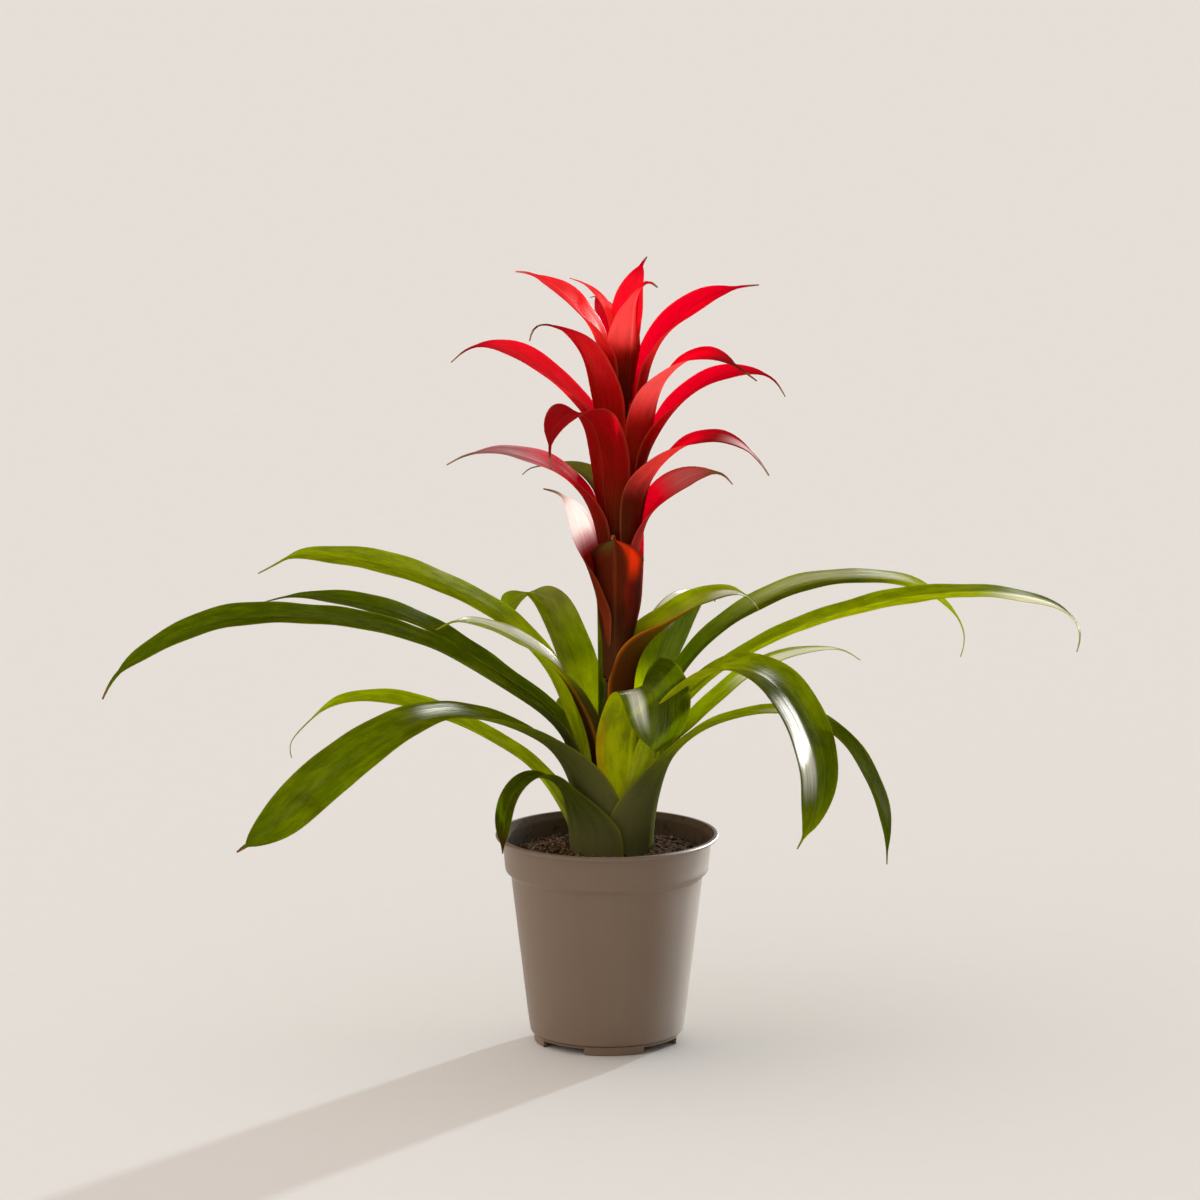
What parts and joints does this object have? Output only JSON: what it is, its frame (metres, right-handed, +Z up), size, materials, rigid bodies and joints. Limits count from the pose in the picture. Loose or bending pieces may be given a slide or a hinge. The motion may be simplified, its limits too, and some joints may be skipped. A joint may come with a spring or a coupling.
{
  "type": "potted guzmania",
  "caption": "Potted bromeliad: arching strap leaves round an upright spike of red bracts, growing in soil in a round tapered plastic nursery pot.",
  "frame": {"origin": "centre of the underside of the pot, on the surface that the pot stands on", "axes": "+Z up along the pot's axis, -Y towards the viewer, +X to the viewer's right, along the widest spread of the leaves"},
  "size_m": [0.5199, 0.2738, 0.4244],
  "materials": {
    "pot": "satin",
    "soil": "matte",
    "stem": "satin",
    "leaf": "satin",
    "bract": "satin"
  },
  "bodies": {
    "root": {"pot": "pot", "soil": "soil", "stem": "stem", "leaf_right_inner": "leaf", "leaf_left_inner": "leaf", "leaf_front_inner": "leaf", "leaf_right_broad": "leaf", "leaf_back_left": "leaf", "leaf_right_high": "leaf", "leaf_left_high": "leaf", "leaf_back_upright": "leaf", "leaf_right_long": "leaf", "leaf_left_behind": "leaf", "leaf_back_right": "leaf", "leaf_right_arching": "leaf", "leaf_left_long": "leaf", "leaf_right_short": "leaf", "leaf_left_broad": "leaf", "leaf_right_low": "leaf", "leaf_back_low": "leaf", "leaf_left_low": "leaf", "leaf_left_rim": "leaf", "bract_01": "bract", "bract_02": "bract", "bract_03": "bract", "bract_04": "bract", "bract_05": "bract", "bract_06": "bract", "bract_07": "bract", "bract_08": "bract", "bract_09": "bract", "bract_10": "bract", "bract_11": "bract", "bract_12": "bract", "bract_13": "bract", "bract_14": "bract", "bract_15": "bract", "bract_16": "bract", "bract_17": "bract", "bract_18": "bract", "bract_19": "bract", "bract_20": "bract"}
  },
  "joints": []
}
